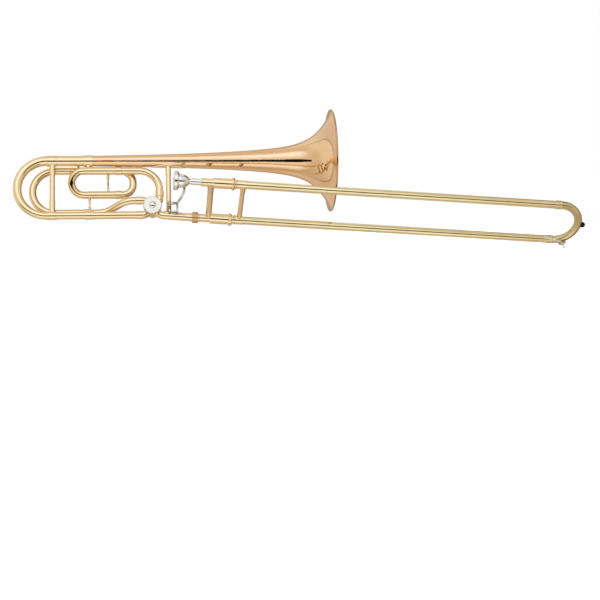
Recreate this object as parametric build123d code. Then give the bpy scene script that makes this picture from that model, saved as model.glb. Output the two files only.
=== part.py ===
from build123d import *
import os
from math import cos, radians, sin, tan

# Tenor trombone in B flat with an F attachment (closed wrap), rotary valve and thumb trigger.
# Everything is in millimetres in one frame: X runs along the bell axis and out of the bell's
# mouth, Z is up, and the origin is the centre of the bell rim.
# Two placed sections:
#   BELL  - the bell section, rolled about the bell axis. Local y points behind the bell plane,
#           local z is "up" in the bell plane.
#   SLIDE - the hand slide. Local x runs down the slide from the joint with the bell section,
#           local z runs from the lower slide tube to the upper one.

os.makedirs("parts", exist_ok=True)

# ---------------------------------------------------------------- driving dimensions
BELL_ROLL = 20.0          # roll of the bell plane about the bell axis, degrees
SHEET = 0.6               # wall of drawn tubes and bell sheet
RUN_FIT = 0.05            # radial clearance of every sliding or turning fit

BELL_RIM_R = 110.0        # half of the 220 mm bell
BEAD_R = 2.0              # wire rolled into the bell rim
BELL_TAIL_X = -520.0      # small end of the bell stem
BELL_PROFILE = [          # (distance behind the rim, outer radius)
    (2.0, 108.0), (4.6, 99.4), (9.7, 88.9), (22.5, 70.9), (45.5, 49.9), (67.0, 39.3),
    (89.0, 32.9), (110.6, 29.0), (153.5, 24.1), (218.0, 19.5), (304.0, 15.8),
    (411.0, 13.0), (520.0, 11.0),
]

BOW_X = -606.5            # centre of the main tuning bow
BOW_R = 60.6              # bend radius of the main tuning bow
UPPER_LEG_R = 10.9        # upper outer leg of the main tuning slide
UPPER_INNER_R = 10.1      # upper inner leg
LOWER_LEG_R = 7.8         # lower outer leg
LOWER_INNER_R = 7.05      # lower inner leg
LOWER_Z = -2 * BOW_R      # lower run of the bell section
BOW_FERRULE_X = (-606.2, -586.0)
LEG_JOINT_X = -596.0      # inner legs meet the bow here
INNER_LEG_END_X = -511.0
BRACE_X = -594.5          # tuning slide brace

VALVE_X = -386.0          # rotary valve axis
VALVE_Z = -104.5
CASING_R = 17.5
ROTOR_R = 16.4
CASING_HALF = 16.0
PORT_BORE = 6.2
MAIN_Z = -120.9           # run leaving the valve towards the tuning slide

F_R = 7.7                 # F tubing
F_OUTER_R = 8.0           # outer tubes of the F tuning slide
F_TOP_Z = -22.2           # F tuning slide, upper run in the front plane
F_LOW_Y, F_LOW_Z = 17.0, -70.2    # its lower run, behind: the bow stands across the planes
F_BOW_X = -529.6          # F tuning bow centre
F_LEG_R = 7.2             # F tuning slide inner legs
F_MOUTH_X = -521.9        # outer tubes start here
F_TUBE_END_X = -455.0     # outer tubes meet the fixed bends here
F_REAR_Y = 19.0           # rear F tubing plane
F_REAR_TOP_Z = -15.7
F_REAR_LOW_Z = -109.6
F_REAR_BOW_X = -590.0
F_PORT_Z = -88.7          # F tube leaving the valve on the player's side
F_DROP_X = -370.6         # F tube rising from the valve

TRIG_X, TRIG_Y = -350.5, -11.0     # thumb trigger hinge axis
TRIG_ARM = 38.3                    # hinge to link pin
TRIG_SWING = 23.5                  # full press, degrees
CRANK = 11.0                       # rotor crank throw
LINK_Y = 26.9

SLIDE_X = -300.0          # lower slide axis passes here at SLIDE_Z in the bell plane
SLIDE_Z = -127.0
SLIDE_DIVE = 4.11         # slide axis against the bell axis, degrees
SLIDE_SPLAY = 55.45       # slide plane against the bell plane, degrees
SLIDE_CC = 92.5           # distance between the two slide tubes
INNER_R = 7.15
STOCKING_R = 7.5
OUTER_BORE = 7.55
OUTER_R = 8.3
CROOK_X = 776.0           # centre of the end crook
OUTER_START = 71.0
INNER_END = 758.0
HANDLE_X = (96.0, 98.2)   # outer slide brace on the lower and upper tube
GRIP_X = 31.2             # inner slide brace
BARREL = (36.0, 74.0)     # cork barrels
LOWER_BARREL_X = 34.5     # the lower barrel starts a little earlier

# ---------------------------------------------------------------- frames
BELL = Location((0, 0, 0), (-BELL_ROLL, 0, 0))
dive, splay = radians(SLIDE_DIVE), radians(SLIDE_SPLAY)
SLIDE_DIR = Vector(cos(dive), 0, -sin(dive))
ACROSS = Vector(cos(splay) * sin(dive), -sin(splay), cos(splay) * cos(dive))
SLIDE = BELL * Plane((SLIDE_X, 0, SLIDE_Z), x_dir=SLIDE_DIR, z_dir=ACROSS).location


# ---------------------------------------------------------------- helpers
def save(name, *shapes, place=BELL):
    solids = [place * solid for shape in shapes for solid in shape.solids()]
    export_step(solids[0] if len(solids) == 1 else Compound(children=solids), f"parts/{name}.step")


def rod(p, q, r):
    p, q = Vector(*p), Vector(*q)
    return extrude(Plane(p, z_dir=q - p) * Circle(r), amount=(q - p).length)


def pipe(p, q, r, bore):
    return rod(p, q, r) - rod(p, q, bore)


def bent_path(points, radii):
    """Centre line through the points, every inner corner rounded to its own bend radius."""
    pts = [Vector(*p) for p in points]
    edges, start = [], pts[0]
    for i, r in enumerate(radii, start=1):
        a = (pts[i - 1] - pts[i]).normalized()
        b = (pts[i + 1] - pts[i]).normalized()
        half = radians(a.get_angle(b)) / 2
        first, last = pts[i] + a * (r / tan(half)), pts[i] + b * (r / tan(half))
        inward = (a + b).normalized()
        mid = pts[i] + inward * (r / sin(half) - r)
        if (first - start).length > 1e-4:
            edges.append(Edge.make_line(start, first))
        edges.append(Edge.make_three_point_arc(first, mid, last))
        start = last
    if (pts[-1] - start).length > 1e-4:
        edges.append(Edge.make_line(start, pts[-1]))
    return Wire(edges)


def bent_rod(points, radii, r):
    path = bent_path(points, radii)
    return sweep(Plane(path @ 0, z_dir=path % 0) * Circle(r), path=path)


def bent_tube(points, radii, r, bore):
    return bent_rod(points, radii, r) - bent_rod(points, radii, bore)


def turned(profile, origin=(0, 0, 0), axis=(1, 0, 0)):
    """Solid of revolution; the closed profile is (distance along the axis, radius)."""
    axis = Vector(*axis)
    side = Vector(0, 0, 1) if abs(axis.Z) < 0.9 else Vector(1, 0, 0)
    plane = Plane(origin, x_dir=axis, z_dir=side.cross(axis))
    face = plane * make_face(Polyline(*profile, close=True))
    return revolve(face, axis=Axis(origin, axis))


def sleeve(x0, x1, r, bore, origin=(0, 0, 0), axis=(1, 0, 0), edge=0.5):
    """Ferrule with broken edges."""
    profile = [(x0, bore), (x0, r - edge), (x0 + edge, r), (x1 - edge, r), (x1, r - edge), (x1, bore)]
    return turned(profile, origin, axis)


def polar(angle, radius):
    """Point of the valve face: x and z at an angle from +x towards +z."""
    return VALVE_X + radius * cos(radians(angle)), VALVE_Z + radius * sin(radians(angle))


def plate(points, z0, z1):
    """Flat plate with its outline in x, y."""
    return extrude(Plane((0, 0, z0)) * make_face(Polyline(*points, close=True)), amount=z1 - z0)


# ---------------------------------------------------------------- bell
def offset_profile(distance):
    """Bell profile moved inwards (towards the bore) by a distance along its normal."""
    out = []
    for i, (d, r) in enumerate(BELL_PROFILE):
        a, b = BELL_PROFILE[max(i - 1, 0)], BELL_PROFILE[min(i + 1, len(BELL_PROFILE) - 1)]
        slope = Vector(b[0] - a[0], b[1] - a[1]).normalized()
        out.append((d + slope.Y * distance, r - slope.X * distance))
    return out


def bell_solid(distance=0.0):
    """Filled body of revolution under the bell profile, offset by a distance inwards."""
    pts = [(-d, r) for d, r in offset_profile(distance)]
    pts[-1] = (BELL_TAIL_X, pts[-1][1])
    curve = Spline(*pts)
    closing = Polyline(pts[-1], (pts[-1][0], 0), (pts[0][0], 0), pts[0])
    return revolve(Plane.XZ * make_face(curve + closing), axis=Axis.X)


bell_outer = bell_solid()
bell_bore = bell_solid(SHEET)
mouth_cut = Pos(-1.0 + 25, 0, 0) * Rot(0, 90, 0) * Cylinder(BELL_RIM_R, 50)
bell = bell_outer - bell_bore - mouth_cut
bell = max(bell.solids(), key=lambda s: s.volume)
bead = Pos(-BEAD_R, 0, 0) * Rot(0, 90, 0) * Torus(BELL_RIM_R - BEAD_R, BEAD_R)
bell = bell - bead
bell = max(bell.solids(), key=lambda s: s.volume)
save("bell", bell)
save("bell_rim_bead", bead)

bell_ferrule = sleeve(-529.6, -509.7, 12.1, UPPER_LEG_R) - bell_outer
bell_ferrule = max(bell_ferrule.solids(), key=lambda s: s.volume)
save("bell_ferrule", bell_ferrule)

# ---------------------------------------------------------------- main tuning slide
upper_leg = pipe((-586, 0, 0), (BELL_TAIL_X - 0.3, 0, 0), UPPER_LEG_R, UPPER_INNER_R + RUN_FIT)
save("upper_outer_leg", upper_leg)
LOWER_JOINT_X = -518.0
save("lower_outer_leg", pipe((-585.9, 0, LOWER_Z), (LOWER_JOINT_X, 0, LOWER_Z),
                             LOWER_LEG_R, LOWER_INNER_R + RUN_FIT))

bow_arc = Edge.make_three_point_arc((BOW_X, 0, 0), (BOW_X - BOW_R, 0, -BOW_R), (BOW_X, 0, LOWER_Z))


def tapered_bow(r_top, r_low):
    sections = [Plane(bow_arc @ t, z_dir=bow_arc % t) * Circle(r_top + (r_low - r_top) * t)
                for t in (0, 0.5, 1)]
    curve = sweep(sections, path=Wire([bow_arc]), multisection=True)
    top = rod((BOW_X, 0, 0), (LEG_JOINT_X, 0, 0), r_top)
    low = rod((BOW_X, 0, LOWER_Z), (LEG_JOINT_X, 0, LOWER_Z), r_low)
    return curve + top + low


BOW_TOP_R, BOW_LOW_R = 10.4, 7.9
tuning_bow = tapered_bow(BOW_TOP_R, BOW_LOW_R) - tapered_bow(BOW_TOP_R - 0.9, BOW_LOW_R - 1.0)
save("tuning_bow", tuning_bow)


def bow_ferrule(z, r, bow_r, leg_r):
    x0, x1 = BOW_FERRULE_X
    profile = [(x0, bow_r), (x0, r - 0.5), (x0 + 0.5, r), (x1 - 0.5, r), (x1, r - 0.5),
               (x1, leg_r), (LEG_JOINT_X, leg_r), (LEG_JOINT_X, bow_r)]
    return turned(profile, (0, 0, z))


UPPER_FERRULE_R, LOWER_FERRULE_R = 11.5, 8.7
save("tuning_bow_ferrules", bow_ferrule(0, UPPER_FERRULE_R, BOW_TOP_R, UPPER_INNER_R),
     bow_ferrule(LOWER_Z, LOWER_FERRULE_R, BOW_LOW_R, LOWER_INNER_R))
save("tuning_inner_legs",
     pipe((LEG_JOINT_X, 0, 0), (INNER_LEG_END_X, 0, 0), UPPER_INNER_R, UPPER_INNER_R - 0.5),
     pipe((LEG_JOINT_X, 0, LOWER_Z), (INNER_LEG_END_X, 0, LOWER_Z), LOWER_INNER_R, LOWER_INNER_R - 0.5))

tuning_brace = turned([(6, 0), (6, 6.0), (31, 6.0), (32, 5.4), (88, 5.4), (89, 6.0), (116, 6.0), (116, 0)],
                      (BRACE_X, 0, 0), (0, 0, -1))
tuning_brace -= rod((-615, 0, 0), (-575, 0, 0), UPPER_FERRULE_R)
tuning_brace -= rod((-615, 0, LOWER_Z), (-575, 0, LOWER_Z), LOWER_FERRULE_R)
save("tuning_brace", tuning_brace)

# ---------------------------------------------------------------- lower run to the valve
MAIN_JOINT_X = -413.4
main_path = [(LOWER_JOINT_X, 0, LOWER_Z), (-480, 0, LOWER_Z), (-450, 0, MAIN_Z), (MAIN_JOINT_X, 0, MAIN_Z)]
save("lower_main_tube", bent_tube(main_path, [300, 300], LOWER_LEG_R, 7.1))
save("main_tube_ferrules",
     sleeve(-528, -508, LOWER_FERRULE_R, LOWER_LEG_R, (0, 0, LOWER_Z)),
     sleeve(-420.7, -406.2, 8.6, LOWER_LEG_R, (0, 0, MAIN_Z)))

# ---------------------------------------------------------------- rotary valve
casing_core = rod((VALVE_X, -CASING_HALF, VALVE_Z), (VALVE_X, CASING_HALF, VALVE_Z), CASING_R)
casing = casing_core - rod((VALVE_X, -20, VALVE_Z), (VALVE_X, 20, VALVE_Z), ROTOR_R + RUN_FIT)
for angle in (45, 135, 225, 315):
    px, pz = polar(angle, 25)
    casing -= rod((VALVE_X, 0, VALVE_Z), (px, 0, pz), PORT_BORE)
save("valve_casing", casing)


def knuckle(angle, corner, end, r=F_R, bend=10.0):
    """Short bend from a casing port to its run of tubing."""
    px, pz = polar(angle, 12)
    points = [(px, 0, pz), (corner[0], 0, corner[1]), (end[0], 0, end[1])]
    shape = bent_rod(points, [bend], r) - casing_core - bent_rod(points, [bend], PORT_BORE)
    return max(shape.solids(), key=lambda s: s.volume)


main_drop = VALVE_Z - MAIN_Z
f_rise = F_PORT_Z - VALVE_Z
f_side = F_DROP_X - VALVE_X
F_JOINT_X, F_JOINT_Z = -412.5, -74.0
neck_run = (VALVE_Z - SLIDE_Z - (SLIDE_X - VALVE_X) * tan(dive)) / (1 - tan(dive))
neck_corner = (VALVE_X + neck_run, VALVE_Z - neck_run)
NECK_START = -62.0        # gooseneck joint, measured along the slide
neck_end = (SLIDE_X + NECK_START * cos(dive), SLIDE_Z - NECK_START * sin(dive))
save("valve_knuckles",
     knuckle(225, (VALVE_X - main_drop, MAIN_Z), (MAIN_JOINT_X, MAIN_Z), LOWER_LEG_R),
     knuckle(135, (VALVE_X - f_rise, F_PORT_Z), (F_JOINT_X, F_PORT_Z)),
     knuckle(45, (F_DROP_X, VALVE_Z + f_side), (F_DROP_X, F_JOINT_Z)),
     knuckle(315, neck_corner, neck_end, 7.7, 12.0))

VALVE_AXIS = (VALVE_X, 0, VALVE_Z)
cap = turned([(-12.5, 17.5), (-12.5, 18.9), (-13.0, 19.3), (-18.6, 19.3), (-19.6, 18.9), (-20.2, 17.9),
              (-20.2, 0), (-17.8, 0), (-17.8, 17.5)], VALVE_AXIS, (0, 1, 0))
save("valve_cap", cap)
knob = Pos(VALVE_X, -13.9, VALVE_Z) * Sphere(10.4) - Pos(VALVE_X, -5.9, VALVE_Z) * Box(40, 30, 40)
knob += turned([(-20.2, 0), (-20.2, 7.1), (-20.9, 7.7), (-20.9, 0)], VALVE_AXIS, (0, 1, 0))
save("valve_cap_knob", knob)
front_bearing = turned([(-15.9, 3.05), (-15.9, 16.45), (-13.3, 16.45), (-13.3, 3.05)],
                       VALVE_AXIS, (0, 1, 0))
rear_bearing = turned([(13.3, 3.05), (13.3, 16.45), (16.0, 16.45), (16.0, 17.4), (17.5, 17.4),
                       (17.5, 6.0), (20.6, 6.0), (20.6, 3.05)], VALVE_AXIS, (0, 1, 0))
save("valve_bearings", front_bearing, rear_bearing)

rotor = rod((VALVE_X, -13, VALVE_Z), (VALVE_X, 13, VALVE_Z), ROTOR_R)
rotor += rod((VALVE_X, -15.7, VALVE_Z), (VALVE_X, 24.2, VALVE_Z), 3.0)
for a, b in ((225, 315), (45, 135)):
    (ax, az), (bx, bz) = polar(a, 24), polar(b, 24)
    passage = [(ax, 0, az), (VALVE_X, 0, VALVE_Z), (bx, 0, bz)]
    rotor -= bent_rod(passage, [ROTOR_R], PORT_BORE)
save("rotor", rotor)

CRANK_ANGLE, STOP_ANGLE = 225, 45
hub = turned([(21.2, 3.0), (21.2, 5.2), (24.2, 5.2), (24.2, 3.0)], VALVE_AXIS, (0, 1, 0))


def valve_bar(angle, length, width, y0, y1):
    """Flat bar from the spindle axis outwards at an angle, with a round end."""
    bar = Pos(length / 2, 0, 0) * Box(length, width, y1 - y0)
    bar += Pos(length, 0, 0) * Cylinder(width / 2, y1 - y0)
    along = (cos(radians(angle)), 0, sin(radians(angle)))
    frame = Plane((VALVE_X, (y0 + y1) / 2, VALVE_Z), x_dir=along, z_dir=(0, 1, 0))
    return frame * bar


crank_x, crank_z = polar(CRANK_ANGLE, CRANK)
rotor_arm = hub + valve_bar(CRANK_ANGLE, CRANK, 6.0, 21.6, 24.2)
rotor_arm += valve_bar(STOP_ANGLE, 13.5, 5.0, 21.6, 24.2)
rotor_arm -= rod((VALVE_X, 18, VALVE_Z), (VALVE_X, 24.2, VALVE_Z), 3.0)
rotor_arm += turned([(24.2, 0), (24.2, 3.6), (25.4, 3.0), (25.4, 0)], VALVE_AXIS, (0, 1, 0))
rotor_arm += rod((crank_x, 24.0, crank_z), (crank_x, 30.0, crank_z), 1.5)
rotor_arm += rod((crank_x, 29.2, crank_z), (crank_x, 30.6, crank_z), 2.6)
save("rotor_arm", rotor_arm)

STOP_R, CORK_SPREAD = 13.0, 23.4
crescent = rod((VALVE_X, 17.5, VALVE_Z), (VALVE_X, 19.3, VALVE_Z), 16.6)
crescent -= rod((VALVE_X, 17, VALVE_Z), (VALVE_X, 20, VALVE_Z), 9.0)
crescent -= Pos(VALVE_X, 18.4, VALVE_Z - 12) * Box(50, 10, 24)
corks = []
posts = crescent
for angle in (STOP_ANGLE - CORK_SPREAD, STOP_ANGLE + 90 + CORK_SPREAD):
    cx, cz = polar(angle, STOP_R)
    posts += rod((cx, 17.5, cz), (cx, 20.9, cz), 3.2)
    corks.append(rod((cx, 20.9, cz), (cx, 24.6, cz), 2.2))
save("rotor_stop_plate", posts)
save("rotor_stop_corks", *corks)

# ---------------------------------------------------------------- F tubing
F_TOP, F_LOW = (0, F_TOP_Z), (F_LOW_Y, F_LOW_Z)             # y, z of the tuning slide's runs
REAR_TOP, REAR_LOW = (F_REAR_Y, F_REAR_TOP_Z), (F_REAR_Y, F_REAR_LOW_Z)
F_BORE = 7.1


def at(x, run):
    return x, run[0], run[1]


quarter = [at(F_TUBE_END_X, F_TOP), at(F_DROP_X, F_TOP), (F_DROP_X, 0, F_JOINT_Z)]
save("f_quarter_bend", bent_tube(quarter, [43], F_R, F_BORE))
F_BACK_X = -426.3
turn = [at(F_TUBE_END_X, F_LOW), at(F_BACK_X, F_LOW), at(F_BACK_X, REAR_TOP), at(F_TUBE_END_X, REAR_TOP)]
save("f_right_bend", bent_tube(turn, [23, 27], F_R, F_BORE))
rear_r = (F_REAR_TOP_Z - F_REAR_LOW_Z) / 2
rear_left = F_REAR_BOW_X - rear_r
rear_path = [at(F_TUBE_END_X, REAR_TOP), at(rear_left, REAR_TOP), at(rear_left, REAR_LOW), at(-522, REAR_LOW)]
save("f_rear_loop", bent_tube(rear_path, [rear_r - 0.001, rear_r - 0.001], F_R, F_BORE))
s_path = [at(-522, REAR_LOW), at(-485, REAR_LOW), (-440, 0, F_PORT_Z), (F_JOINT_X, 0, F_PORT_Z)]
save("f_s_bend", bent_tube(s_path, [60, 60], F_R, F_BORE))
save("f_outer_tubes", *[pipe(at(F_MOUTH_X + 0.4, run), at(F_TUBE_END_X, run), F_OUTER_R, F_LEG_R + RUN_FIT)
                        for run in (F_TOP, F_LOW)])


def f_ferrule(run):
    """Sleeve over the end of an outer tube, stepped down to the bend's tube."""
    profile = [(-463.7, F_OUTER_R), (-463.7, 8.2), (-463.2, 8.7), (-450.0, 8.7), (-449.4, 8.2), (-449.4, F_R),
               (F_TUBE_END_X, F_R), (F_TUBE_END_X, F_OUTER_R)]
    return turned(profile, (0, *run))


save("f_ferrules", f_ferrule(F_LOW), f_ferrule(F_TOP),
     sleeve(-464, -453, 8.5, F_R, (0, *REAR_TOP)),
     sleeve(-529, -515, 8.5, F_R, (0, *REAR_LOW)),
     sleeve(-421.4, -406.4, 8.5, F_R, (0, 0, F_PORT_Z)),
     sleeve(-80.5, -67.6, 8.7, F_R, (F_DROP_X, 0, 0), (0, 0, 1)))


def post(p, q, r_end=3.4, r_mid=1.9):
    """Turned brace rod with flared feet, reaching from p to q."""
    p, q = Vector(*p), Vector(*q)
    n = (q - p).length
    foot = min(3.0, n * 0.3)
    profile = [(0, 0), (0, r_end), (foot * 0.35, r_end), (n * 0.45, r_mid), (n * 0.7, r_mid - 0.3),
               (n * 0.76, r_mid + 0.6), (n * 0.8, r_mid + 0.6), (n * 0.86, r_mid - 0.2),
               (n - foot * 0.35, r_end), (n, r_end), (n, 0)]
    if n < 14:
        profile = [(0, 0), (0, r_end), (n, r_end), (n, 0)]
    return turned(profile, tuple(p), tuple((q - p) / n))


def run_of(run, r):
    return rod(at(-700, run), at(-300, run), r)


def strut(x, run, r, other, r_other):
    """Ends of a post between two runs, each end 1.2 mm inside the tube's surface."""
    p, q = Vector(*at(x, run)), Vector(*at(x, other))
    way = (q - p).normalized()
    return tuple(p + way * (r - 1.2)), tuple(q - way * (r_other - 1.2))


posts = [
    post(*strut(-478.6, F_TOP, F_OUTER_R, F_LOW, F_OUTER_R)),
    post(*strut(-517.9, F_LOW, F_OUTER_R, REAR_LOW, 8.5), 3.2),
    post((-519.6, 0, -11.2), (-519.6, 0, F_TOP_Z + F_R - 1.0), 4.6),
    post((-541, 6.4, -5.2), (-541, F_REAR_Y - 4.4, F_REAR_TOP_Z + 3.6), 2.6),
    post((-560, 4.4, LOWER_Z + 3.1), (-560, F_REAR_Y - 4.4, F_REAR_LOW_Z - 3.0), 2.6),
]
solids = [run_of(F_TOP, F_OUTER_R), run_of(F_LOW, F_OUTER_R), run_of((0, 0), UPPER_LEG_R),
          run_of((0, LOWER_Z), LOWER_LEG_R), run_of(REAR_TOP, F_R), run_of(REAR_LOW, F_R),
          sleeve(-528, -508, LOWER_FERRULE_R, 0.01, (0, 0, LOWER_Z)),
          sleeve(-529.6, -509.7, 12.1, 0.01), sleeve(-529, -515, 8.5, 0.01, (0, *REAR_LOW))]
trimmed = []
for item in posts:
    for solid in solids:
        item = item - solid
    trimmed.append(max(item.solids(), key=lambda s: s.volume))
save("f_posts", *trimmed)

# ---------------------------------------------------------------- F tuning slide
f_reach = Vector(0, F_LOW[0] - F_TOP[0], F_LOW[1] - F_TOP[1]).length / 2
f_left = F_BOW_X - f_reach
f_bow_path = [at(F_MOUTH_X, F_TOP), at(f_left, F_TOP), at(f_left, F_LOW), at(F_MOUTH_X, F_LOW)]
f_bow = bent_tube(f_bow_path, [f_reach - 0.001, f_reach - 0.001], F_R, 6.7)
for run in (F_TOP, F_LOW):
    f_bow -= rod(at(F_BOW_X + 0.4, run), at(F_MOUTH_X + 1, run), F_LEG_R)
save("f_tuning_bow", f_bow)
save("f_tuning_legs", *[pipe(at(F_BOW_X + 0.4, run), at(-466, run), F_LEG_R, 6.7) for run in (F_TOP, F_LOW)])

# ---------------------------------------------------------------- gooseneck and lock nut (slide frame)
gooseneck = turned([(NECK_START, 6.9), (NECK_START, 7.7), (-50, 7.9), (-4, 8.5), (0.5, 8.5), (0.5, 9.35),
                    (3.0, 9.35), (3.0, 7.5), (26.0, 7.5), (26.0, 6.6)])
save("gooseneck", gooseneck, place=SLIDE)
NUT = (-3.2, 9.2)
nut = turned([(NUT[0], 8.58), (NUT[0], 10.8), (-2.4, 11.7), (8.4, 11.7), (9.2, 10.8), (9.2, 9.47),
              (0.15, 9.47), (0.15, 8.58)])
for i in range(24):
    nut -= Rot(i * 15, 0, 0) * Pos(3, 0, 11.95) * Box(8.4, 0.9, 1.1)
save("slide_lock_nut", nut, place=SLIDE)

# ---------------------------------------------------------------- bell brace and flanges
BELL_BRACE_X = -351.5
gooseneck_core = BELL.inverse() * (SLIDE * turned([(-62, 0), (-62, 7.7), (-50, 7.9), (-4, 8.5), (-4, 0)]))
BRACE_BODY_R, BRACE_END_R = 5.2, 5.8
brace_profile = [(10, 0), (10, BRACE_END_R), (32.4, BRACE_END_R), (33, BRACE_BODY_R), (115.4, BRACE_BODY_R),
                 (116, BRACE_END_R), (122, BRACE_END_R), (122, 0)]
bell_brace = turned(brace_profile, (BELL_BRACE_X, 0, 0), (0, 0, -1))
bell_skin = bell_solid(-0.9)
neck_skin = BELL.inverse() * (SLIDE * turned([(-62, 0), (-62, 8.5), (-50, 8.7), (-10, 9.2), (-10, 0)]))
bell_brace = bell_brace - bell_skin - neck_skin
bell_brace = max(bell_brace.solids(), key=lambda s: s.volume)
save("bell_brace", bell_brace)


def leaf(cx, half_length, half_width, z0, z1):
    """Pointed leaf outline in x, y, extruded over a band of z."""
    side = ThreePointArc((cx - half_length, 0), (cx, half_width), (cx + half_length, 0))
    back = ThreePointArc((cx + half_length, 0), (cx, -half_width), (cx - half_length, 0))
    return extrude(Plane((0, 0, z0)) * make_face(side + back), amount=z1 - z0)


flange = (bell_skin - bell_outer) & leaf(BELL_BRACE_X, 36, 8.5, -20, -6)
save("bell_brace_flange", max(flange.solids(), key=lambda s: s.volume))
neck_flange = (neck_skin - gooseneck_core) & leaf(BELL_BRACE_X + 4, 24, 6.4, -120, -106)
save("gooseneck_flange", max(neck_flange.solids(), key=lambda s: s.volume))

# ---------------------------------------------------------------- thumb trigger
LUGS = ((-104.3, -101.8), (-115.1, -112.6))
EYES = ((-101.5, -96.0), (-118.2, -115.4))
EYE_R = (3.8, 3.4)
lugs = None
for z0, z1 in LUGS:
    eye = Pos(TRIG_X, TRIG_Y, (z0 + z1) / 2) * Cylinder(2.7, z1 - z0)
    web = Pos(TRIG_X - 0.4, -6.8, (z0 + z1) / 2) * Box(4.8, 8.6, z1 - z0)
    lugs = eye + web if lugs is None else lugs + eye + web
lugs -= turned(brace_profile, (BELL_BRACE_X, 0, 0), (0, 0, -1))
lugs -= rod((TRIG_X, TRIG_Y, -130), (TRIG_X, TRIG_Y, -90), 1.3)
save("trigger_hinge_lugs", lugs)
hinge_rod = rod((TRIG_X, TRIG_Y, -119.0), (TRIG_X, TRIG_Y, -95.6), 1.3)
hinge_rod += rod((TRIG_X, TRIG_Y, -95.7), (TRIG_X, TRIG_Y, -94.2), 2.9)
hinge_rod += rod((TRIG_X, TRIG_Y, -119.4), (TRIG_X, TRIG_Y, -118.5), 2.1)
save("trigger_hinge_rod", hinge_rod)

coil_path = Pos(TRIG_X, TRIG_Y, -111.7) * Helix(pitch=1.4, height=6.6, radius=2.6)
spring = sweep(Plane(coil_path @ 0, z_dir=coil_path % 0) * Circle(0.55), path=coil_path)
save("trigger_spring", spring)

BAR_X = -334.0
lever = None
for (z0, z1), r in zip(EYES, EYE_R):
    eye = Pos(TRIG_X, TRIG_Y, (z0 + z1) / 2) * Cylinder(r, z1 - z0)
    arm = Pos((TRIG_X + BAR_X) / 2, TRIG_Y, (z0 + z1) / 2) * Box(BAR_X - TRIG_X, 3.2, z1 - z0)
    lever = eye + arm if lever is None else lever + eye + arm
bar_low, bar_high = EYES[1][0], EYES[0][1]
lever += Pos(BAR_X, TRIG_Y, (bar_low + bar_high) / 2) * Box(4.4, 3.2, bar_high - bar_low)
rest = radians(TRIG_SWING / 2)
pin_x, pin_y = TRIG_X - TRIG_ARM * sin(rest), TRIG_Y + TRIG_ARM * cos(rest)
REAR_ARM = (-113.9, -111.7)        # this arm reaches back over the gooseneck to the link
rear = plate([(BAR_X - 2.2, TRIG_Y - 1.6), (BAR_X + 2.2, TRIG_Y - 1.6), (BAR_X + 2.2, 5.0), (-339.5, 19.5),
              (pin_x + 1.0, pin_y + 2.4), (pin_x - 1.6, pin_y + 1.8), (pin_x - 1.6, pin_y - 1.8),
              (-343.0, 16.0), (BAR_X - 2.2, 3.6)], *REAR_ARM)
lever += rear
lever += rod((pin_x, pin_y, REAR_ARM[0]), (pin_x, pin_y, REAR_ARM[1]), 2.6)
lever += rod((pin_x, pin_y, -112.5), (pin_x, pin_y, -103.2), 1.2)
strap_path = Spline((BAR_X, TRIG_Y, -98.0), (-331.0, -14.5, -95.0), (-323.4, -25.0, -86.2),
                    (-319.8, -31.0, -77.6), (-320.4, -35.0, -68.0))
strap_plane = Plane(strap_path @ 0, x_dir=(1, 0, 0), z_dir=strap_path % 0)
strap = sweep(strap_plane * RectangleRounded(5.2, 2.6, 0.8), path=strap_path)
pad_plane = Plane((-321.2, -36.5, -61.0), x_dir=(-0.42, 0.9075, 0), z_dir=(-0.9075, -0.42, 0))
pad = extrude(pad_plane * RectangleRounded(14.0, 18.0, 4.0), amount=1.2, both=True)
lever = lever + strap + pad
lever -= rod((TRIG_X, TRIG_Y, -130), (TRIG_X, TRIG_Y, -90), 1.3 + RUN_FIT)
lever = max(lever.solids(), key=lambda s: s.volume)
save("trigger_lever", lever)

LINK_EYE_Z = -106.2                # above the rear arm, so that the link can dip as the crank turns
link = rod((crank_x, LINK_Y, crank_z), (pin_x, LINK_Y, LINK_EYE_Z), 1.6)
link += rod((crank_x, 24.6, crank_z), (crank_x, 28.8, crank_z), 3.6)
link += rod((pin_x, LINK_Y, LINK_EYE_Z - 1.6), (pin_x, LINK_Y, LINK_EYE_Z + 1.6), 4.4)
link -= rod((crank_x, 20, crank_z), (crank_x, 32, crank_z), 1.5 + RUN_FIT)
link -= rod((pin_x, LINK_Y, LINK_EYE_Z - 6), (pin_x, LINK_Y, LINK_EYE_Z + 6), 2.5)
save("trigger_link", link)

# ---------------------------------------------------------------- inner slide (slide frame)
UP = (0, 0, SLIDE_CC)
RECEIVER_R = 8.3
slide_receiver = turned([(3.35, 7.55), (3.35, 9.42), (8.7, 9.42), (9.6, RECEIVER_R), (11.8, RECEIVER_R),
                         (12.1, 8.75), (13.3, 8.75), (13.6, RECEIVER_R), (LOWER_BARREL_X, RECEIVER_R),
                         (LOWER_BARREL_X, INNER_R), (28.0, INNER_R), (28.0, 7.55)])
save("slide_receiver", slide_receiver, place=SLIDE)
SHANK_R = 6.35
mouth_receiver = turned([(11.4, SHANK_R + RUN_FIT), (11.4, 8.2), (11.9, 8.7), (14.0, 8.7), (14.4, 8.35),
                         (BARREL[0], 8.35), (BARREL[0], SHANK_R + RUN_FIT)], UP)
save("mouthpiece_receiver", mouth_receiver, place=SLIDE)


def inner_tube(start):
    return turned([(start, INNER_R - 0.45), (start, INNER_R), (700, INNER_R), (700.6, STOCKING_R),
                   (INNER_END, STOCKING_R), (INNER_END, INNER_R - 0.45)])


save("inner_slide_tubes", inner_tube(28.0), Pos(*UP) * inner_tube(BARREL[0]), place=SLIDE)

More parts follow.
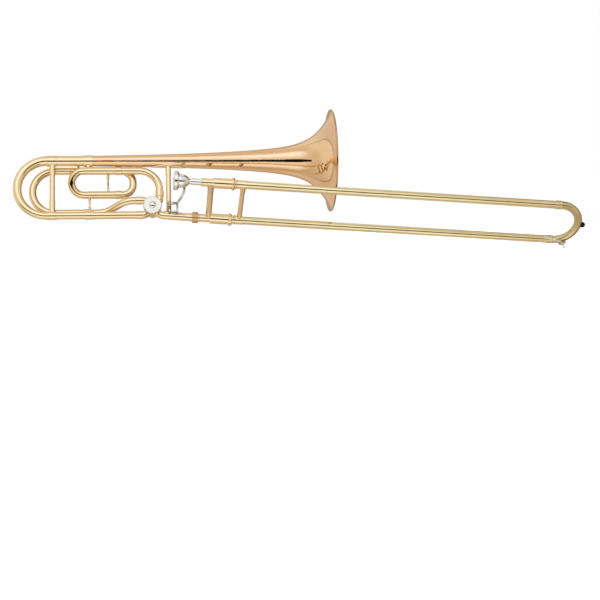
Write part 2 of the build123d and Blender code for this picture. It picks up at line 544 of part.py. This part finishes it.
BARREL_R = 10.75
x0, x1 = BARREL
upper_barrel = turned([(x0, INNER_R), (x0, BARREL_R - 0.4), (x0 + 0.5, BARREL_R), (x1, BARREL_R), (x1, 9.4),
                       (x0 + 3, 9.4), (x0 + 3, INNER_R)], UP)
x0 = LOWER_BARREL_X
lower_barrel = turned([(x0, INNER_R), (x0, BARREL_R - 0.4), (x0 + 0.5, BARREL_R), (72.6, BARREL_R),
                       (72.6, 9.9), (80.9, 9.9), (80.9, 10.5), (82.2, 10.5), (82.2, 9.25), (x0 + 3, 9.25),
                       (x0 + 3, INNER_R)])
inner_brace = turned([(5, 0), (5, 7.3), (11, 6.9), (20, 6.3), (66, 6.1), (80, 6.9), (88, 7.4), (88, 0)],
                     (GRIP_X, 0, 0), (0, 0, 1))
for z, r, start in ((0, RECEIVER_R, LOWER_BARREL_X), (SLIDE_CC, 8.35, BARREL[0])):
    inner_brace -= rod((0, 0, z), (80, 0, z), r) + rod((start, 0, z), (80, 0, z), BARREL_R)
inner_brace = max(inner_brace.solids(), key=lambda s: s.volume)
save("inner_brace", inner_brace, place=SLIDE)
save("cork_barrels", lower_barrel, upper_barrel, place=SLIDE)
END_RING = [(0, 9.4), (0, 11.8), (1.2, 13.2), (3.2, 13.5), (5.0, 12.7), (6.2, 11.2), (8.2, 10.9), (8.2, 9.4)]
save("barrel_end_ring", turned([(BARREL[1] + t, r) for t, r in END_RING], UP), place=SLIDE)
cork = turned([(BARREL[0] + 3, INNER_R), (BARREL[0] + 3, 8.8), (70.4, 8.8), (70.4, INNER_R)])
save("slide_corks", cork, Pos(*UP) * cork, place=SLIDE)

# mouthpiece: cup, rim, throat and shank in one turning
m = [(-46.0, 13.2), (-46.6, 15.6), (-45.6, 18.6), (-43.6, 19.9), (-39.0, 19.9), (-36.6, 18.8), (-35.6, 16.4),
     (-34.6, 14.3), (-31.0, 14.2), (-26.0, 13.7), (-21.5, 12.2), (-17.5, 9.6), (-14.6, 6.6), (-12.6, 5.3),
     (-10.6, 5.5), (-9.2, 6.6), (-7.0, 6.9), (10.6, 6.6), (11.2, SHANK_R), (34.0, SHANK_R)]
bore = [(34.0, 5.4), (6.0, 4.2), (-14.0, 3.4), (-20.0, 3.5), (-24.0, 5.6), (-30.0, 9.4), (-37.0, 12.0),
        (-43.0, 12.9)]
save("mouthpiece", turned(m + bore, UP), place=SLIDE)

# slide lock ring: turns on the end of the lower barrel; its hook passes behind the stub on the outer slide
ring = turned([(72.95, 9.97), (72.95, 11.4), (74.0, 12.9), (76.2, 13.1), (78.4, 12.9), (79.4, 11.6),
               (80.5, 11.4), (80.5, 9.97)])
for i in range(20):
    ring -= Rot(i * 18, 0, 0) * Pos(76.2, 0, 13.3) * Box(4.4, 1.0, 0.9)
HOOK_ANGLE, HOOK_TURN = 47.0, 27.0


def band(x0, x1, r0, r1, a0, a1):
    """Piece of a tube wall between two angles about the slide axis, from +z towards -y."""
    face = make_face(Polyline((x0, r0), (x0, r1), (x1, r1), (x1, r0), close=True))
    start = Plane((0, 0, 0), x_dir=(1, 0, 0), z_dir=(0, -1, 0)) * face
    return Rot(a0, 0, 0) * revolve(start, axis=Axis.X, revolution_arc=a1 - a0)


ring += band(79.0, 90.0, 10.9, 12.6, HOOK_ANGLE - 7.0, HOOK_ANGLE + 7.0)
ring += band(88.4, 90.0, 10.9, 12.6, HOOK_ANGLE - 34, HOOK_ANGLE)
ring += Rot(HOOK_ANGLE, 0, 0) * Pos(76.4, 0, 13.6) * Box(5.0, 3.4, 2.4)
save("slide_lock_ring", ring, place=SLIDE)

# ---------------------------------------------------------------- outer slide
outer_tube = pipe((OUTER_START, 0, 0), (CROOK_X - 5, 0, 0), OUTER_R, OUTER_BORE)
save("outer_slide_tubes", outer_tube, Pos(*UP) * outer_tube, place=SLIDE)
SLEEVE_R = 9.0
SLEEVE = [(83.6, OUTER_R), (83.6, SLEEVE_R), (84.4, 9.6), (86.0, 9.6), (86.8, SLEEVE_R), (103.6, SLEEVE_R),
          (104.2, 8.7), (104.2, OUTER_R)]
save("outer_slide_sleeves", turned(SLEEVE), turned(SLEEVE, UP), place=SLIDE)
lean = Vector(HANDLE_X[1] - HANDLE_X[0], 0, SLIDE_CC).normalized()
outer_brace = turned([(5, 0), (5, 5.7), (12, 5.6), (19, 5.2), (70, 5.0), (80, 5.7), (88, 6.3), (88, 0)],
                     (HANDLE_X[0], 0, 0), tuple(lean))
outer_brace -= rod((60, 0, 0), (130, 0, 0), SLEEVE_R)
outer_brace -= rod((60, 0, SLIDE_CC), (130, 0, SLIDE_CC), SLEEVE_R)
outer_brace = max(outer_brace.solids(), key=lambda s: s.volume)
save("outer_brace", outer_brace, place=SLIDE)
stub = rod((86.7, 0, 8.6), (86.7, 0, 13.2), 1.3) - turned(SLEEVE)
save("slide_lock_stub", stub, place=SLIDE)

crook_mid = (CROOK_X + SLIDE_CC / 2, 0, SLIDE_CC / 2)


def crook_rod(r):
    arc = Edge.make_three_point_arc((CROOK_X, 0, 0), crook_mid, (CROOK_X, 0, SLIDE_CC))
    bend = sweep(Plane(arc @ 0, z_dir=arc % 0) * Circle(r), path=Wire([arc]))
    low = rod((CROOK_X - 5, 0, 0), (CROOK_X, 0, 0), r)
    return bend + low + Pos(0, 0, SLIDE_CC) * low


CROOK_R = 8.3
KEY_BEND = 24.0           # the water key sits this far round the crook
bend_r, bend_angle = SLIDE_CC / 2, radians(KEY_BEND)
KEY = Pos(CROOK_X + bend_r * sin(bend_angle), 0, bend_r * (1 - cos(bend_angle))) * Rot(0, -KEY_BEND, 0)
NIPPLE_TILT = 20.0        # nipple leans from straight out towards the front
drain = Rot(-NIPPLE_TILT, 0, 0)
crook = crook_rod(CROOK_R) - crook_rod(7.4) - KEY * drain * Pos(0, 0, -9) * Cylinder(2.0, 6)
save("crook", crook, place=SLIDE)
crook_sleeve = turned([(764.2, OUTER_R), (764.2, 8.9), (764.8, 9.5), (767.2, 9.5), (767.8, 9.1), (773.0, 9.1),
                       (773.6, 9.5), (775.4, 9.5), (776.0, 8.9), (776.0, CROOK_R)])
save("crook_ferrules", crook_sleeve, Pos(*UP) * crook_sleeve, place=SLIDE)

BUMPER_Z = SLIDE_CC / 2 - 1.8
crook_full = crook_rod(CROOK_R)
holder = turned([(822.0, 0), (822.0, 4.6), (832.0, 4.6), (832.0, 0)], (0, 0, BUMPER_Z)) - crook_full
holder = max(holder.solids(), key=lambda s: s.center().X)
save("bumper_holder", holder, place=SLIDE)
bumper = turned([(826.0, 0), (826.0, 5.0), (828.0, 5.7), (831.5, 6.0), (834.5, 5.8), (837.2, 4.6),
                 (838.7, 2.6), (839.2, 0)], (0, 0, BUMPER_Z)) - crook_full
bumper -= turned([(822.0, 0), (822.0, 4.6), (832.0, 4.6), (832.0, 0)], (0, 0, BUMPER_Z))
save("bumper", max(bumper.solids(), key=lambda s: s.volume), place=SLIDE)

# ---------------------------------------------------------------- water key (key frame on the crook)
PIVOT_Y, PIVOT_Z = -12.6, -2.0
nipple = drain * (Pos(0, 0, -9.6) * Cylinder(3.3, 5.0) - Pos(0, 0, -10) * Cylinder(2.0, 12))
saddle = None
for x in (-5.6, 5.6):
    cheek = Pos(x, -9.9, PIVOT_Z) * Box(3.0, 7.0, 7.0)
    cheek += Pos(x, PIVOT_Y, PIVOT_Z) * Rot(0, 90, 0) * Cylinder(3.5, 3.0)
    saddle = cheek if saddle is None else saddle + cheek
saddle += Pos(0, -8.6, PIVOT_Z) * Box(14.2, 1.6, 7.6)
screw = Pos(0, PIVOT_Y, PIVOT_Z) * Rot(0, 90, 0) * Cylinder(1.2, 16.0)
screw += Pos(7.8, PIVOT_Y, PIVOT_Z) * Rot(0, 90, 0) * Cylinder(2.4, 1.6)
saddle = KEY * (saddle + nipple + screw) - crook_full
saddle = [s for s in saddle.solids() if s.volume > 20]
save("water_key_saddle", *saddle, place=SLIDE)

PAD_TOP = 12.1
cup = drain * (Pos(0, 0, -(PAD_TOP + 2.2)) * Cylinder(4.1, 2.6))
pad_cork = drain * (Pos(0, 0, -(PAD_TOP + 0.45)) * Cylinder(3.7, 0.9))
key_eye = Pos(0, PIVOT_Y, PIVOT_Z) * Rot(0, 90, 0) * Cylinder(2.3, 4.0)


def strap_between(points, width, thick, up):
    path = Spline(*points)
    plane = Plane(path @ 0, x_dir=up, z_dir=path % 0)
    return sweep(plane * RectangleRounded(width, thick, min(width, thick) * 0.35), path=path)


cup_y, cup_z = -sin(radians(NIPPLE_TILT)), -cos(radians(NIPPLE_TILT))
reach = PAD_TOP + 2.9
short_way = [(0, PIVOT_Y - 0.6, PIVOT_Z - 1.2), (0.2, -11.2, -9.0), (0.6, cup_y * reach, cup_z * reach),
             (1.6, cup_y * reach - 0.6, cup_z * reach - 4.8), (3.2, cup_y * reach - 1.0, cup_z * reach - 9.3)]
short_arm = strap_between(short_way, 4.2, 1.8, (1, 0, 0))
long_arm = strap_between([(0, PIVOT_Y - 0.6, PIVOT_Z + 1.0), (-2.2, -14.6, 3.6), (-9.0, -14.0, 9.4),
                          (-20.0, -12.0, 16.2), (-34.0, -9.4, 22.8)], 5.2, 1.8, (1, 0, 0.4))
water_key = key_eye + short_arm + long_arm + cup - pad_cork
water_key -= Pos(0, PIVOT_Y, PIVOT_Z) * Rot(0, 90, 0) * Cylinder(1.25, 20)
water_key -= Pos(3.5, PIVOT_Y, PIVOT_Z) * Rot(0, 90, 0) * Cylinder(2.3, 2.9)
water_key = max(water_key.solids(), key=lambda s: s.volume)
save("water_key_lever", KEY * water_key, place=SLIDE)
save("water_key_cork", KEY * pad_cork, place=SLIDE)
key_coil = Pos(2.3, PIVOT_Y, PIVOT_Z) * Rot(0, 90, 0) * Helix(pitch=0.55, height=0.9, radius=1.75)
coil = sweep(Plane(key_coil @ 0, z_dir=key_coil % 0) * Circle(0.22), path=key_coil)
save("water_key_spring", KEY * coil, place=SLIDE)
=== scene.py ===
import math

import bpy
from mathutils import Matrix, Vector


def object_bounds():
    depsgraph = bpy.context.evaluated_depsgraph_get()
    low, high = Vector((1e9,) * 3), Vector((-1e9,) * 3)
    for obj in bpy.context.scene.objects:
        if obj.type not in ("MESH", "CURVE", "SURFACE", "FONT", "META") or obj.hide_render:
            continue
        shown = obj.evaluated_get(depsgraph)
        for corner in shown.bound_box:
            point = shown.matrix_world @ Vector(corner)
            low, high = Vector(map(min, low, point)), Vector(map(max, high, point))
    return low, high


# Looks, studio and camera of the trombone. Every visible piece is a CAD node of the frame, kept as
# it is. Lengths are metres. X runs along the bell axis, Z is up, and the camera looks along +Y.

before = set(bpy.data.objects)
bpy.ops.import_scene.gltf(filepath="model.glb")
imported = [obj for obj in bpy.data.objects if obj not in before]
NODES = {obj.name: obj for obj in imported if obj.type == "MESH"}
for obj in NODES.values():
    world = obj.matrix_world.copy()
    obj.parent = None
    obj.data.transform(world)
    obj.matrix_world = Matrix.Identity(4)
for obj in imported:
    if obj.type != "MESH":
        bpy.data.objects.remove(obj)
cad_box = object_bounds()
scene = bpy.context.scene


# ---------------------------------------------------------------- node helpers
def new_material(name):
    mat = bpy.data.materials.new(name)
    mat.use_nodes = True
    nodes, links = mat.node_tree.nodes, mat.node_tree.links
    return mat, nodes, links, nodes["Principled BSDF"]


def noise(nodes, links, coord, scale, detail, rough=0.55):
    """Noise over object space, in features per metre."""
    tex = nodes.new("ShaderNodeTexNoise")
    tex.inputs["Scale"].default_value = scale
    tex.inputs["Detail"].default_value = detail
    tex.inputs["Roughness"].default_value = rough
    links.new(coord.outputs["Object"], tex.inputs["Vector"])
    return tex.outputs["Fac"]


def ramp(nodes, links, source, stops):
    """Colour ramp over source, through (position, colour) stops in rising order."""
    node = nodes.new("ShaderNodeValToRGB")
    elements = node.color_ramp.elements
    while len(elements) < len(stops):
        elements.new(0.5)
    for element, (at, colour) in zip(elements, stops):
        element.position = at
        element.color = (*colour, 1)
    links.new(source, node.inputs["Fac"])
    return node.outputs["Color"]


def grey(value):
    return (value, value, value)


# ---------------------------------------------------------------- materials
def add_bump(nodes, links, shader, height, strength, distance):
    bump = nodes.new("ShaderNodeBump")
    bump.inputs["Strength"].default_value = strength
    bump.inputs["Distance"].default_value = distance
    links.new(height, bump.inputs["Height"])
    links.new(bump.outputs["Normal"], shader.inputs["Normal"])


def add_tone(nodes, links, shader, source, stops):
    links.new(ramp(nodes, links, source, stops), shader.inputs["Base Color"])


def add_gloss(nodes, links, shader, source, rough):
    """Roughness that wanders between the two values of rough."""
    low, high = rough
    gloss = ramp(nodes, links, source, [(0.3, grey(low)), (0.75, grey(high))])
    links.new(gloss, shader.inputs["Roughness"])


def lacquered(name, base, deep, rough=(0.03, 0.07), coat=0.7):
    """Polished, clear-lacquered brass: cloudy tone, buffing haze and a slightly uneven clear coat."""
    mat, nodes, links, shader = new_material(name)
    coord = nodes.new("ShaderNodeTexCoord")
    cloud = noise(nodes, links, coord, scale=26.0, detail=4.0)
    add_tone(nodes, links, shader, cloud, [(0.32, deep), (0.56, base)])
    haze = noise(nodes, links, coord, scale=120.0, detail=6.0, rough=0.7)
    add_gloss(nodes, links, shader, haze, rough)
    peel = noise(nodes, links, coord, scale=90.0, detail=1.0)
    add_bump(nodes, links, shader, peel, strength=0.0015, distance=0.001)
    shader.inputs["Metallic"].default_value = 1.0
    shader.inputs["Coat Weight"].default_value = coat
    shader.inputs["Coat Roughness"].default_value = 0.03
    shader.inputs["Coat IOR"].default_value = 1.45
    return mat


def plated(name, base, deep, rough=(0.05, 0.12), strength=0.03):
    """Silver, nickel or steel: soft cloudiness and a fine grain."""
    mat, nodes, links, shader = new_material(name)
    coord = nodes.new("ShaderNodeTexCoord")
    cloud = noise(nodes, links, coord, scale=60.0, detail=4.0)
    add_tone(nodes, links, shader, cloud, [(0.32, deep), (0.6, base)])
    fine = noise(nodes, links, coord, scale=500.0, detail=4.0, rough=0.7)
    add_gloss(nodes, links, shader, fine, rough)
    add_bump(nodes, links, shader, fine, strength, distance=0.0004)
    shader.inputs["Metallic"].default_value = 1.0
    return mat


def rubber(name, base, deep):
    mat, nodes, links, shader = new_material(name)
    coord = nodes.new("ShaderNodeTexCoord")
    grain = noise(nodes, links, coord, scale=900.0, detail=3.0)
    add_tone(nodes, links, shader, grain, [(0.3, deep), (0.8, base)])
    add_bump(nodes, links, shader, grain, strength=0.25, distance=0.0002)
    shader.inputs["Roughness"].default_value = 0.55
    shader.inputs["Specular IOR Level"].default_value = 0.15
    return mat


def cork(name, base, deep):
    mat, nodes, links, shader = new_material(name)
    coord = nodes.new("ShaderNodeTexCoord")
    cells = nodes.new("ShaderNodeTexVoronoi")
    cells.inputs["Scale"].default_value = 900.0
    links.new(coord.outputs["Object"], cells.inputs["Vector"])
    add_tone(nodes, links, shader, cells.outputs["Distance"], [(0.1, deep), (0.6, base)])
    add_bump(nodes, links, shader, cells.outputs["Distance"], strength=0.5, distance=0.0003)
    shader.inputs["Roughness"].default_value = 0.85
    return mat


yellow = lacquered("lacquered_yellow_brass", (0.92, 0.75, 0.50), (0.90, 0.72, 0.46))
gold = lacquered("lacquered_gold_brass", (0.78, 0.52, 0.27), (0.72, 0.46, 0.22), (0.32, 0.42), 0.3)
rose = lacquered("lacquered_rose_brass", (0.89, 0.62, 0.40), (0.86, 0.59, 0.37))
slide_brass = lacquered("lacquered_slide_brass", (0.84, 0.73, 0.47), (0.80, 0.68, 0.43))
# Darker copy of the yellow brass for the crook and the bumper holder: painted shade for the dark
# reflections round the bend.
shaded_crook_brass = lacquered("crook_brass_painted_shade", (0.68, 0.56, 0.34), (0.62, 0.50, 0.29))
# Dark brown brass for the water key saddle: painted shade where it sits against the tube.
shaded_fitting = lacquered("fittings_painted_shade", (0.46, 0.30, 0.15), (0.38, 0.24, 0.11), (0.10, 0.18), 0.3)
# Darker brass for the rim bead: painted dark reflections along the bead.
shaded_rim = lacquered("rim_wire_painted_shade", (0.66, 0.38, 0.20), (0.60, 0.33, 0.16))
silver = plated("silver_plate", (0.86, 0.90, 0.96), (0.81, 0.85, 0.91), strength=0.012)
satin = plated("satin_silver_plate", (0.76, 0.70, 0.65), (0.71, 0.65, 0.60), (0.08, 0.15), 0.012)
# Darker silver plate for the trigger parts.
dark_silver = plated("dark_silver_plate", (0.60, 0.60, 0.59), (0.46, 0.46, 0.45), (0.06, 0.16))
nickel = plated("nickel_silver", (0.76, 0.73, 0.67), (0.66, 0.63, 0.57))
steel = plated("plain_steel", (0.55, 0.53, 0.50), (0.42, 0.40, 0.37), (0.2, 0.35))
black = rubber("black_rubber", (0.014, 0.014, 0.016), (0.004, 0.004, 0.005))
bark = cork("cork", (0.62, 0.43, 0.26), (0.30, 0.17, 0.09))

FINISHES = [              # (finish, its nodes); every other node is yellow brass
    (rose, ["bell"]),
    (shaded_rim, ["bell_rim_bead"]),
    (gold, ["slide_lock_nut"]),
    (slide_brass, ["outer_slide_tubes", "crook_ferrules"]),
    (shaded_crook_brass, ["crook", "bumper_holder"]),
    (shaded_fitting, ["water_key_saddle"]),
    (silver, ["mouthpiece", "water_key_lever", "valve_cap_knob"]),
    (satin, ["valve_cap"]),
    (dark_silver, ["trigger_lever", "trigger_link", "rotor_arm"]),
    (nickel, ["tuning_inner_legs", "f_tuning_legs", "inner_slide_tubes"]),
    (steel, ["trigger_hinge_rod", "trigger_spring", "water_key_spring", "rotor"]),
    (bark, ["slide_corks", "rotor_stop_corks", "water_key_cork"]),
    (black, ["bumper"]),
]
finish_of = {node: finish for finish, nodes in FINISHES for node in nodes}
for name, obj in NODES.items():
    obj.data.materials.clear()
    obj.data.materials.append(finish_of.get(name, yellow))

# ---------------------------------------------------------------- studio
# Soft panels round the instrument, which the metal reflects. Each list gives their light by
# elevation in degrees. The values follow the light that the photographed metal reflects, by
# direction, rounded and then adjusted.
PEAK = 1.4                # brightness that white in the ramps stands for
FRONT = [                 # in front of the instrument
    (-90, (0.60, 0.50, 0.36)), (-78, (0.62, 0.53, 0.38)), (-66, (0.74, 0.65, 0.49)),
    (-57, (0.96, 0.93, 0.80)), (-46, (1.12, 1.16, 1.08)), (-34, (1.06, 1.04, 0.92)),
    (-22, (1.02, 0.94, 0.78)), (-9, (0.98, 0.86, 0.66)), (8, (0.70, 0.62, 0.48)),
    (15, (0.88, 0.82, 0.68)), (28, (1.00, 1.01, 0.94)), (42, (1.22, 1.33, 1.40)),
    (56, (1.20, 1.30, 1.34)), (66, (0.96, 0.94, 0.84)), (76, (0.80, 0.73, 0.60)),
    (90, (0.76, 0.68, 0.54)),
]
SIDES = [                 # left and right of the front panels
    (-90, (0.58, 0.47, 0.33)), (-60, (0.60, 0.51, 0.37)), (-32, (0.72, 0.62, 0.46)),
    (-5, (0.78, 0.68, 0.51)), (18, (0.78, 0.69, 0.52)), (36, (0.84, 0.78, 0.63)),
    (52, (0.80, 0.75, 0.61)), (70, (0.74, 0.66, 0.52)), (90, (0.76, 0.68, 0.54)),
]
LEFT = [                  # far left end of the panels, brighter than their middle
    (-90, (0.62, 0.52, 0.38)), (-55, (0.66, 0.56, 0.43)), (-32, (0.70, 0.61, 0.47)),
    (-12, (0.84, 0.76, 0.62)), (10, (0.92, 0.87, 0.74)), (30, (0.88, 0.83, 0.70)),
    (50, (0.88, 0.85, 0.73)), (70, (0.82, 0.76, 0.62)), (90, (0.78, 0.69, 0.55)),
]
BACK = [                  # behind the instrument
    (-90, (0.60, 0.49, 0.35)), (-74, (0.78, 0.68, 0.52)), (-55, (0.77, 0.67, 0.53)),
    (-38, (0.69, 0.60, 0.48)), (0, (0.73, 0.63, 0.51)), (28, (0.76, 0.69, 0.58)),
    (42, (0.88, 0.84, 0.73)), (58, (0.92, 0.86, 0.73)), (72, (0.86, 0.77, 0.62)),
    (90, (0.78, 0.67, 0.52)),
]
BEHIND = [                # straight behind, which the tubes reflect at their outlines
    (-90, (0.60, 0.49, 0.35)), (-60, (0.70, 0.58, 0.43)), (-35, (0.52, 0.40, 0.27)),
    (0, (0.44, 0.33, 0.21)), (35, (0.58, 0.47, 0.34)), (60, (0.78, 0.67, 0.51)),
    (90, (0.78, 0.67, 0.52)),
]

# Where one set of panels fades into the next, as angles from straight ahead, in degrees.
FRONT_TO_SIDES = (34, 58)
LEAN = 42                 # the front panels end this much sooner on the right
SIDES_TO_LEFT = (76, 90)
SIDES_TO_BACK = (117.5, 120)
BACK_TO_BEHIND = (162, 173)
TO_DUSK = (68, 128)
SIDE_GAIN = 4.0           # how fast left and right set in away from the middle
DUSK_GAIN = 5.0           # the same for the dark end of the room, on the right
DUSK_OFFSET = -1.0
DUSK = (0.13, 0.09, 0.045)

GAP_MIDDLE = -0.4         # dark slot between the upper and lower front panels, degrees of elevation
GAP_HALF = 11.3           # half of its height straight ahead
GAP_TAPER = 0.15          # how much of that half is lost for each degree to the side
GAP_EDGE = 0.8            # softness of its edges
GAP_ENDS = (54, 56)       # angles from straight ahead where it stops
GAP_LIGHT = 0.01          # light that is left in it
SEAM = [                  # thin upright joint at the panels' end, (angle, light passed)
    (0, 1.0), (113.5, 1.0), (116, 0.55), (117.5, 0.55), (119.5, 1.0),
]

world = bpy.data.worlds.new("studio")
scene.world = world
world.use_nodes = True
wn, wl = world.node_tree.nodes, world.node_tree.links
wn.clear()


def calc(operation, a, b=None, c=None, clamp=False):
    """Math node of the studio, on numbers or sockets."""
    node = wn.new("ShaderNodeMath")
    node.operation = operation
    node.use_clamp = clamp
    for socket, value in zip(node.inputs, (a, b, c)):
        if isinstance(value, (int, float)):
            socket.default_value = value
        elif value is not None:
            wl.new(value, socket)
    return node.outputs["Value"]


def mix_colour(factor, a, b):
    node = wn.new("ShaderNodeMix")
    node.data_type = "RGBA"
    wl.new(factor, node.inputs["Factor"])
    wl.new(a, node.inputs["A"])
    wl.new(b, node.inputs["B"])
    return node.outputs["Result"]


def multiply_colour(a, b):
    node = wn.new("ShaderNodeMix")
    node.data_type, node.blend_type = "RGBA", "MULTIPLY"
    node.inputs["Factor"].default_value = 1.0
    wl.new(a, node.inputs["A"])
    wl.new(b, node.inputs["B"])
    return node.outputs["Result"]


def directions():
    """How far east a direction points, its elevation, and its angle from straight ahead."""
    coord = wn.new("ShaderNodeTexCoord")
    split = wn.new("ShaderNodeSeparateXYZ")
    wl.new(coord.outputs["Generated"], split.inputs["Vector"])
    east, north, high = (split.outputs[axis] for axis in "XYZ")
    flat = calc("SQRT", calc("MULTIPLY_ADD", east, east, calc("MULTIPLY", north, north)))
    facing = calc("DIVIDE", calc("MULTIPLY", north, -1.0), flat)
    facing = calc("MINIMUM", 1.0, calc("MAXIMUM", -1.0, facing))
    return east, calc("ARCSINE", high), calc("ARCCOSINE", facing)


east, elevation, angle = directions()
level = calc("MULTIPLY_ADD", elevation, 1 / math.pi, 0.5)         # 0 straight down, 1 straight up


def step_between(source, limits):
    """0 below the first angle, 1 above the second, and straight between them."""
    low, high = (math.radians(limit) for limit in limits)
    return calc("MULTIPLY", calc("SUBTRACT", source, low), 1 / (high - low), clamp=True)


def panels(stops):
    scaled = [(0.5 + degrees / 180, tuple(v / PEAK for v in colour)) for degrees, colour in stops]
    return ramp(wn, wl, level, scaled)


def front_and_sides():
    lean = calc("MULTIPLY", east, SIDE_GAIN, clamp=True)
    spread = calc("MULTIPLY_ADD", lean, math.radians(LEAN), angle)
    around = mix_colour(step_between(spread, FRONT_TO_SIDES), panels(FRONT), panels(SIDES))
    leftward = calc("MULTIPLY", east, -SIDE_GAIN, clamp=True)
    far_left = calc("MULTIPLY", step_between(angle, SIDES_TO_LEFT), leftward)
    return mix_colour(far_left, around, panels(LEFT))


def light_past_gap():
    """Light that the dark slot and the seam let through."""
    off_middle = calc("ABSOLUTE", calc("SUBTRACT", elevation, math.radians(GAP_MIDDLE)))
    past_edge = calc("MULTIPLY_ADD", angle, GAP_TAPER, off_middle)
    past_edge = calc("SUBTRACT", past_edge, math.radians(GAP_HALF))
    passed = calc("MULTIPLY", past_edge, 1 / math.radians(GAP_EDGE), clamp=True)
    passed = calc("MAXIMUM", passed, step_between(angle, GAP_ENDS))
    seam_stops = [(degrees / 180, grey(light)) for degrees, light in SEAM]
    seam = ramp(wn, wl, calc("MULTIPLY", angle, 1 / math.pi), seam_stops)
    return calc("MAXIMUM", calc("MULTIPLY", passed, seam), GAP_LIGHT)


def darken_right(around):
    dusk = wn.new("ShaderNodeRGB")
    dusk.outputs["Color"].default_value = (*DUSK, 1)
    rightward = calc("MULTIPLY_ADD", east, DUSK_GAIN, DUSK_OFFSET, clamp=True)
    far_right = calc("MULTIPLY", step_between(angle, TO_DUSK), rightward)
    return mix_colour(far_right, around, dusk.outputs["Color"])


def light_studio():
    """The panels light the object and show in its metal; the camera itself sees plain white."""
    around = multiply_colour(front_and_sides(), light_past_gap())
    around = mix_colour(step_between(angle, SIDES_TO_BACK), around, panels(BACK))
    around = mix_colour(step_between(angle, BACK_TO_BEHIND), around, panels(BEHIND))
    shine = wn.new("ShaderNodeBackground")
    wl.new(darken_right(around), shine.inputs["Color"])
    shine.inputs["Strength"].default_value = PEAK
    plain = wn.new("ShaderNodeBackground")
    plain.inputs["Color"].default_value = (1, 1, 1, 1)
    plain.inputs["Strength"].default_value = 1.0
    path = wn.new("ShaderNodeLightPath")
    mix = wn.new("ShaderNodeMixShader")
    out = wn.new("ShaderNodeOutputWorld")
    wl.new(path.outputs["Is Camera Ray"], mix.inputs["Fac"])
    wl.new(shine.outputs["Background"], mix.inputs[1])
    wl.new(plain.outputs["Background"], mix.inputs[2])
    wl.new(mix.outputs["Shader"], out.inputs["Surface"])


light_studio()
scene.view_settings.view_transform = "Standard"

# ---------------------------------------------------------------- floor
FLOOR_DROP = 0.55         # below the instrument's lowest point
FLOOR_HALF = 14.0         # half of its side


def pale_floor():
    mat, _, _, shader = new_material("pale_floor")
    shader.inputs["Base Color"].default_value = (0.9, 0.9, 0.9, 1)
    shader.inputs["Roughness"].default_value = 0.9
    shader.inputs["Emission Color"].default_value = (0.86, 0.92, 1.0, 1)
    shader.inputs["Emission Strength"].default_value = 0.7
    return mat


def make_floor():
    low = cad_box[0].z - FLOOR_DROP
    square = ((-1, -1), (1, -1), (1, 1), (-1, 1))
    mesh = bpy.data.meshes.new("floor")
    mesh.from_pydata([(x * FLOOR_HALF, y * FLOOR_HALF, low) for x, y in square], [], [(0, 1, 2, 3)])
    mesh.materials.append(pale_floor())
    made = bpy.data.objects.new("floor", mesh)
    scene.collection.objects.link(made)
    made.visible_glossy = False               # the metal reflects the panels, not the floor
    return made


floor = make_floor()

# ---------------------------------------------------------------- camera
EYE = Vector((-0.411, -2.900, -0.030))
YAW, PITCH, TILT = (math.radians(degrees) for degrees in (6.7265, 5.3190, -0.1941))
SENSOR_MM = 36.0
FOCAL_MM = 80.784


def make_camera():
    ahead = Vector((math.sin(YAW) * math.cos(PITCH), math.cos(YAW) * math.cos(PITCH), -math.sin(PITCH)))
    level_right = Vector((math.cos(YAW), -math.sin(YAW), 0))
    level_up = level_right.cross(ahead)
    right = math.cos(TILT) * level_right + math.sin(TILT) * level_up
    up = -math.sin(TILT) * level_right + math.cos(TILT) * level_up
    data = bpy.data.cameras.new("camera")
    data.sensor_width = SENSOR_MM
    data.lens = FOCAL_MM
    made = bpy.data.objects.new("camera", data)
    scene.collection.objects.link(made)
    made.matrix_world = Matrix.Translation(EYE) @ Matrix((right, up, -ahead)).transposed().to_4x4()
    return made


scene.camera = make_camera()

bpy.context.view_layer.update()
